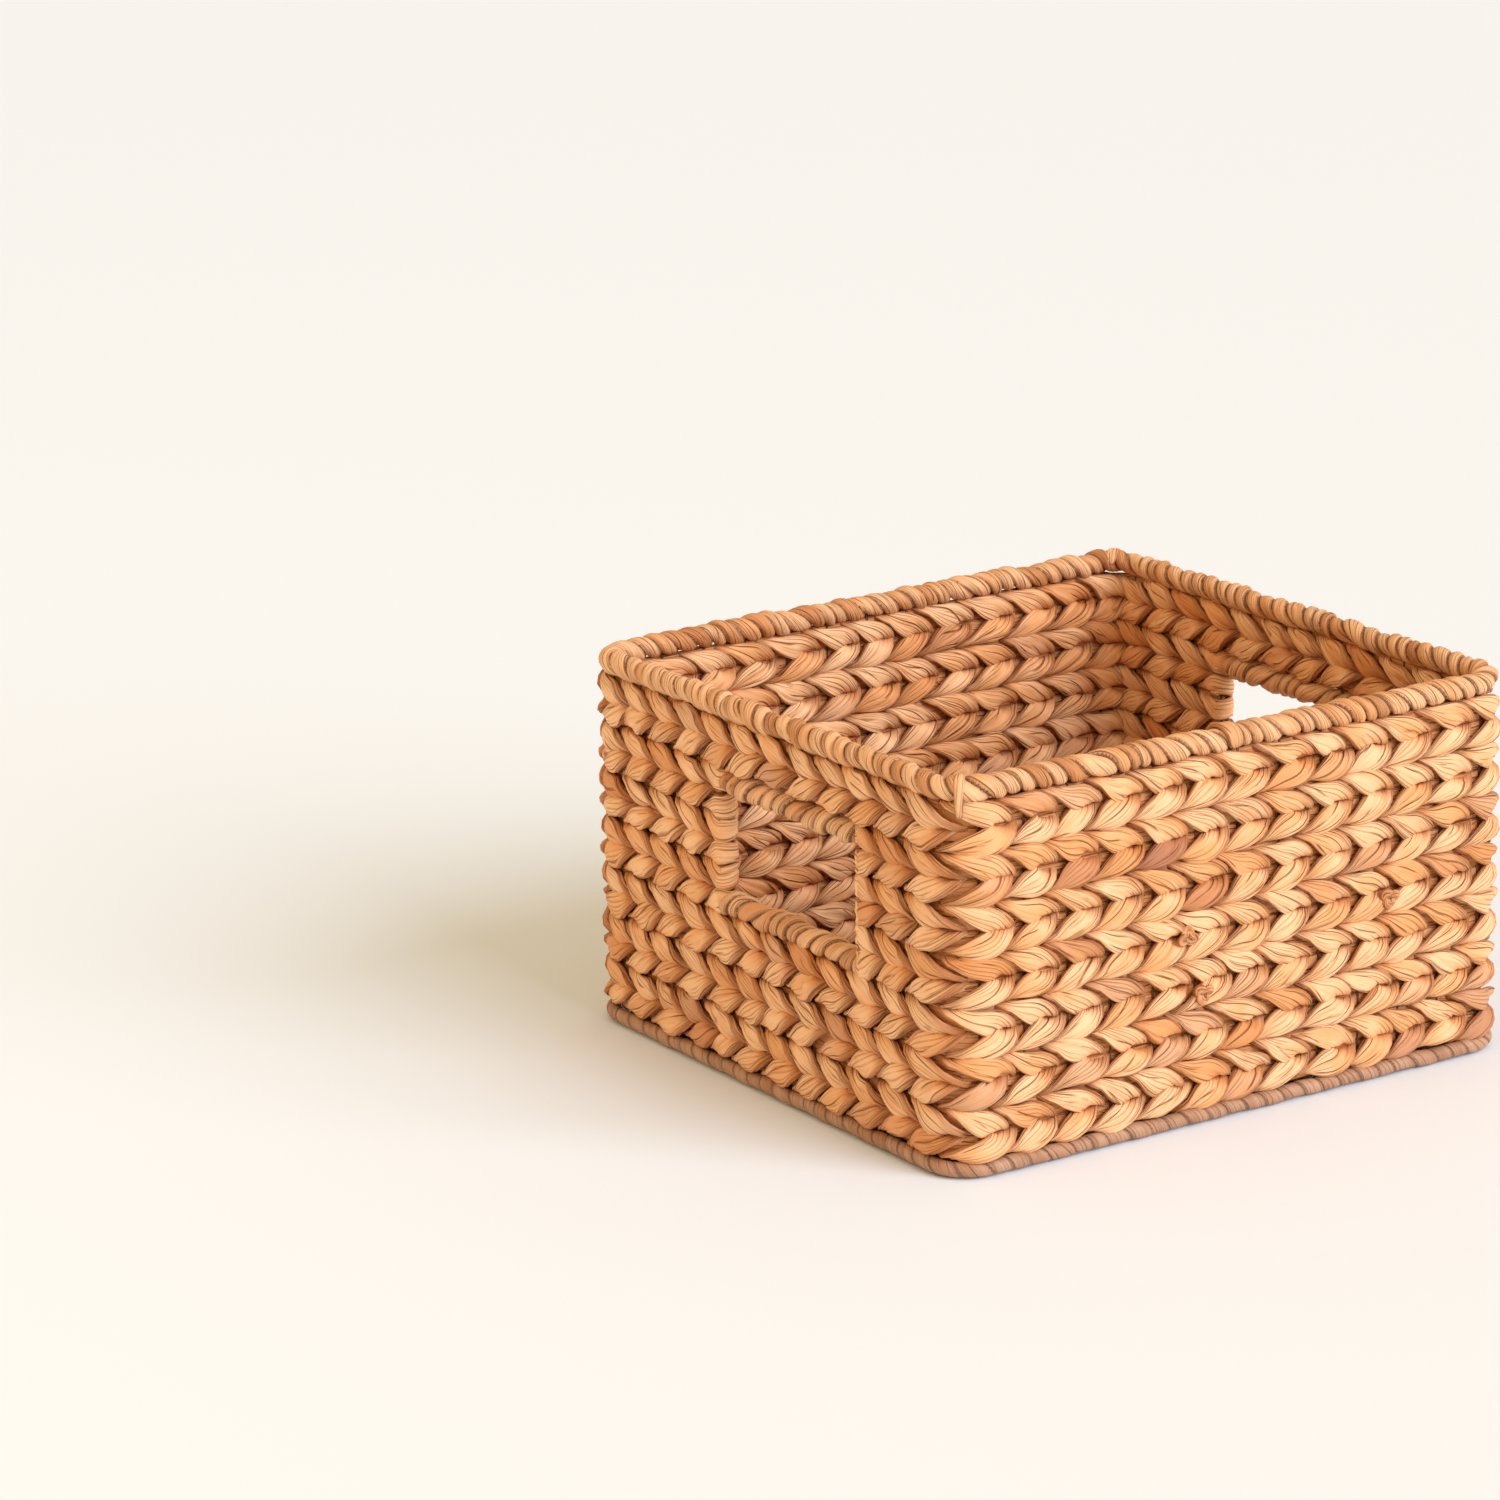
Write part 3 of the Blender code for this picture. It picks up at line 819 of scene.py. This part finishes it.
def camera():
    data = bpy.data.cameras.new("camera")
    data.lens = 134.8
    data.sensor_width = 36.0
    data.clip_end = 50.0
    made = bpy.data.objects.new("camera", data)
    bpy.context.scene.collection.objects.link(made)
    azimuth, elevation, roll = (math.radians(a) for a in (33.51, 15.93, -1.017))
    level = math.cos(elevation)
    ahead = Vector((math.sin(azimuth) * level, math.cos(azimuth) * level, -math.sin(elevation)))
    aim = Vector((-0.0168, 0.2470, 0.0972))
    distance = 3.083
    made.location = aim - ahead * distance
    made.rotation_mode = "QUATERNION"
    made.rotation_quaternion = ahead.to_track_quat("-Z", "Y") @ Quaternion((0, 0, 1), roll)
    bpy.context.scene.camera = made


def area_light(name, place, target, size, power, colour):
    data = bpy.data.lights.new(name, "AREA")
    data.size = size
    data.energy = power
    data.color = colour
    made = bpy.data.objects.new(name, data)
    made.location = place
    made.rotation_euler = (Vector(target) - Vector(place)).to_track_quat("-Z", "Y").to_euler()
    bpy.context.scene.collection.objects.link(made)


def sun_light(name, towards, strength, spread, colour):
    data = bpy.data.lights.new(name, "SUN")
    data.energy = strength
    data.angle = math.radians(spread)
    data.color = colour
    made = bpy.data.objects.new(name, data)
    made.rotation_euler = (-Vector(towards)).to_track_quat("-Z", "Y").to_euler()
    bpy.context.scene.collection.objects.link(made)


def pale_floor():
    bpy.ops.object.select_all(action="DESELECT")
    bpy.ops.mesh.primitive_plane_add(size=60, location=(0, 0, -0.0005))
    floor = bpy.context.object
    floor.name = "floor"
    pale = bpy.data.materials.new("pale_floor")
    pale.use_nodes = True
    shader = pale.node_tree.nodes["Principled BSDF"]
    shader.inputs["Base Color"].default_value = (0.83, 0.91, 0.98, 1)
    shader.inputs["Roughness"].default_value = 0.9
    floor.data.materials.append(pale)


def stage():
    pale_floor()
    world = bpy.data.worlds.new("studio")
    world.use_nodes = True
    background = world.node_tree.nodes["Background"]
    background.inputs["Color"].default_value = (1.0, 0.80, 0.54, 1)
    background.inputs["Strength"].default_value = 0.74
    bpy.context.scene.world = world
    sun_light("key", (0.28, -0.82, 0.50), 2.5, 45, (0.98, 1.03, 1.20))
    area_light("fill", (-2.4, 0.0, 1.0), (0, 0, 0.1), 1.6, 11.0, (1.0, 0.60, 0.30))
    bpy.context.scene.view_settings.view_transform = "Standard"


# ---------------------------------------------------------------- the basket

def basket():
    rng = np.random.default_rng(7)
    group = fibre_group()
    straw = fibre_material("dried_strand", group, STRAW, 1.0, 0.0009)
    rim = fibre_material("shaded_wound_strand", group, SHADED_RIM_STRAW, 0.9, 0.0009)
    base = fibre_material("base_strand", group, BASE_STRAW, 0.6, 0.0006)
    for row in range(1, 15):
        if f"twined_row_{row:02d}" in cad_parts:
            full_row(row, straw, rng)
        else:
            half_row(row, "front", straw, rng)
            half_row(row, "back", straw, rng)
    rim_wrap(rim, rng)
    edge_wrap(base, rng)
    bar_wraps(rim, rng)
    base_weave(base, rng)
    bound = wire_material()
    for name in NODES:
        if "stake" in name or "wire" in name:
            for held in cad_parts[name].material_slots:
                held.material = bound


camera()
stage()
basket()
